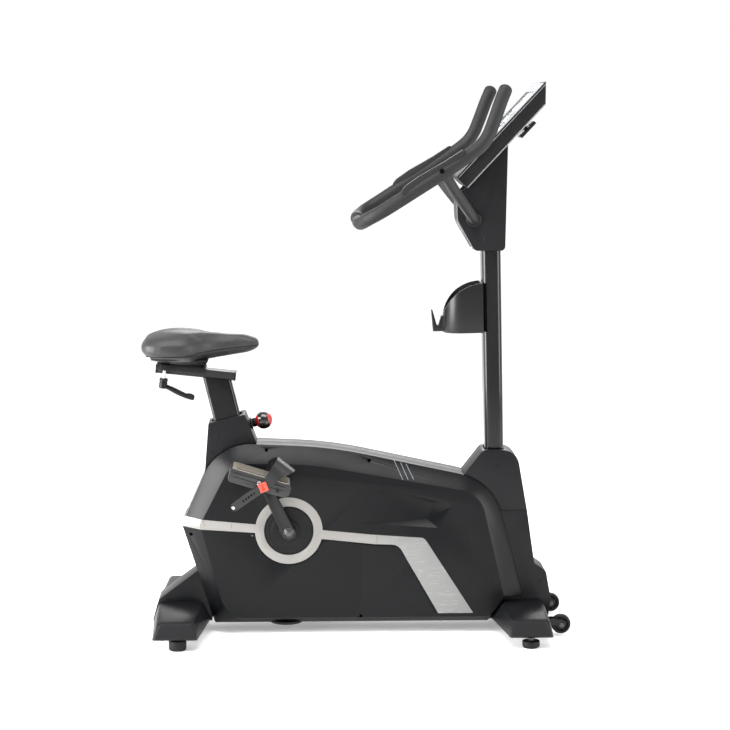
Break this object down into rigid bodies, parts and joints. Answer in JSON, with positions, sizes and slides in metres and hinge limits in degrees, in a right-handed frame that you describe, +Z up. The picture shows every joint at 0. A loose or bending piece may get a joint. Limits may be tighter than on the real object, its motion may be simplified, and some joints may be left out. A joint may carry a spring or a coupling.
{
  "type": "exercise bike",
  "caption": "Upright exercise bike with a belt-driven flywheel in a moulded casing, sliding saddle on a pull-pin post, toe-strap pedals, long handlebar and sloping console.",
  "frame": {"origin": "middle of the bike's length and width, on the floor", "axes": "+X forward (towards the console), +Y to the rider's left, +Z up"},
  "size_m": [1.1413, 0.53, 1.4707],
  "materials": {
    "black_paint": "satin",
    "gloss_black_paint": "gloss",
    "black_plastic": "fine texture",
    "silver_trim": "satin silver",
    "grey_plastic": "satin",
    "green_plastic": "satin",
    "display": "gloss",
    "black_rubber": "matte",
    "grip_rubber": "matte",
    "steel": "machined",
    "black_crank": "satin",
    "aluminium": "machined",
    "cast_iron": "painted",
    "pedal_plastic": "satin",
    "strap_rubber": "satin",
    "red_plastic": "satin",
    "knob_plastic": "gloss",
    "saddle_vinyl": "grained vinyl"
  },
  "bodies": {
    "frame": {"base_beam": "black_paint", "seat_tube": "black_paint", "mast_socket": "black_paint", "flywheel_bracket": "black_paint", "foot_tubes": "black_paint", "shell_right": "black_plastic", "shell_left": "black_plastic", "trim_strips": "silver_trim", "crank_covers": "black_plastic", "seat_tube_cover": "black_plastic", "mast_cover_upper": "black_plastic", "mast_cover_lower": "black_plastic", "tail_cover": "black_plastic", "rear_foot_cover": "black_plastic", "front_foot_cover": "black_plastic", "rear_feet": "black_rubber", "wheel_brackets": "black_paint", "mast": "gloss_black_paint", "neck_cover": "black_plastic", "console_back": "black_plastic", "console_face": "grey_plastic", "display_lens": "display", "console_rest": "black_paint", "brake_motor": "black_plastic", "cup_holder": "black_plastic", "handlebar": "black_paint", "grips": "grip_rubber", "arm_pads": "grip_rubber", "post_bush": "black_plastic", "casing_screws": "steel", "drive_belt": "black_rubber", "crank_bearings": "steel", "flywheel_axle": "steel"},
    "crank": {"crank_axle": "steel", "drive_pulley": "aluminium", "crank_arm_right": "black_crank", "crank_arm_left": "black_crank", "pedal_spindles": "steel"},
    "pedal_right": {"pedal_right": "pedal_plastic", "strap_right": "strap_rubber", "buckle_right": "red_plastic"},
    "pedal_left": {"pedal_left": "pedal_plastic", "strap_left": "strap_rubber", "buckle_left": "red_plastic"},
    "flywheel": {"flywheel": "cast_iron"},
    "brake": {"brake_arm": "black_paint"},
    "seat_post": {"seat_post": "gloss_black_paint", "seat_rail": "black_paint"},
    "carriage": {"carriage": "black_plastic", "saddle_pan": "black_plastic", "saddle": "saddle_vinyl"},
    "clamp_lever": {"clamp_lever": "black_plastic"},
    "pull_knob": {"pull_knob": "knob_plastic"},
    "wheel_right": {"wheel_right": "black_rubber"},
    "wheel_left": {"wheel_left": "black_rubber"},
    "leveller_right": {"leveller_right": "black_rubber"},
    "leveller_left": {"leveller_left": "black_rubber"},
    "key_start": {"key_start": "green_plastic"},
    "key_up": {"key_up": "black_plastic"},
    "key_down": {"key_down": "black_plastic"}
  },
  "joints": [
    {"name": "crank_spin", "type": "hinge", "parent": "frame", "child": "crank", "pos_m": [-0.18216, 0, 0.284], "axis": [0, 1, 0], "continuous": true},
    {"name": "pedal_right_spin", "type": "hinge", "parent": "crank", "child": "pedal_right", "pos_m": [-0.25668, -0.17, 0.43679], "axis": [0, 1, 0], "continuous": true},
    {"name": "pedal_left_spin", "type": "hinge", "parent": "crank", "child": "pedal_left", "pos_m": [-0.10764, 0.17, 0.13121], "axis": [0, 1, 0], "continuous": true},
    {"name": "flywheel_spin", "type": "hinge", "parent": "frame", "child": "flywheel", "pos_m": [0.14784, 0, 0.25], "axis": [0, 1, 0], "continuous": true},
    {"name": "brake_swing", "type": "hinge", "parent": "frame", "child": "brake", "pos_m": [0.05184, 0, 0.378], "axis": [0, 1, 0], "range_deg": [0, 6]},
    {"name": "seat_height", "type": "slide", "parent": "frame", "child": "seat_post", "axis": [-0.2334, 0, 0.9724], "range_m": [-0.075, 0.18]},
    {"name": "seat_fore_aft", "type": "slide", "parent": "seat_post", "child": "carriage", "axis": [0.9945, 0, -0.1045], "range_m": [0, 0.07]},
    {"name": "clamp_lever_turn", "type": "hinge", "parent": "carriage", "child": "clamp_lever", "pos_m": [-0.51207, -0.038, 0.69759], "axis": [-0.1045, 0, -0.9945], "range_deg": [0, 100]},
    {"name": "pull_knob_slide", "type": "slide", "parent": "frame", "child": "pull_knob", "axis": [0.9724, 0, 0.2334], "range_m": [0, 0.012], "stiffness_N_per_m": 900},
    {"name": "wheel_right_roll", "type": "hinge", "parent": "frame", "child": "wheel_right", "pos_m": [0.54484, -0.119, 0.032], "axis": [0, 1, 0], "continuous": true},
    {"name": "wheel_left_roll", "type": "hinge", "parent": "frame", "child": "wheel_left", "pos_m": [0.54484, 0.119, 0.032], "axis": [0, 1, 0], "continuous": true},
    {"name": "leveller_right_turn", "type": "hinge", "parent": "frame", "child": "leveller_right", "pos_m": [0.45184, -0.237, 0], "axis": [0, 0, 1], "continuous": true},
    {"name": "leveller_left_turn", "type": "hinge", "parent": "frame", "child": "leveller_left", "pos_m": [0.45184, 0.237, 0], "axis": [0, 0, 1], "continuous": true},
    {"name": "key_start_press", "type": "slide", "parent": "frame", "child": "key_start", "axis": [0.7314, 0, -0.682], "range_m": [0, 0.0012], "stiffness_N_per_m": 700},
    {"name": "key_up_press", "type": "slide", "parent": "frame", "child": "key_up", "axis": [0.7314, 0, -0.682], "range_m": [0, 0.0012], "stiffness_N_per_m": 700},
    {"name": "key_down_press", "type": "slide", "parent": "frame", "child": "key_down", "axis": [0.7314, 0, -0.682], "range_m": [0, 0.0012], "stiffness_N_per_m": 700}
  ],
  "couplings": [
    {"joint": "flywheel_spin", "follows": "crank_spin", "ratio": 5}
  ]
}
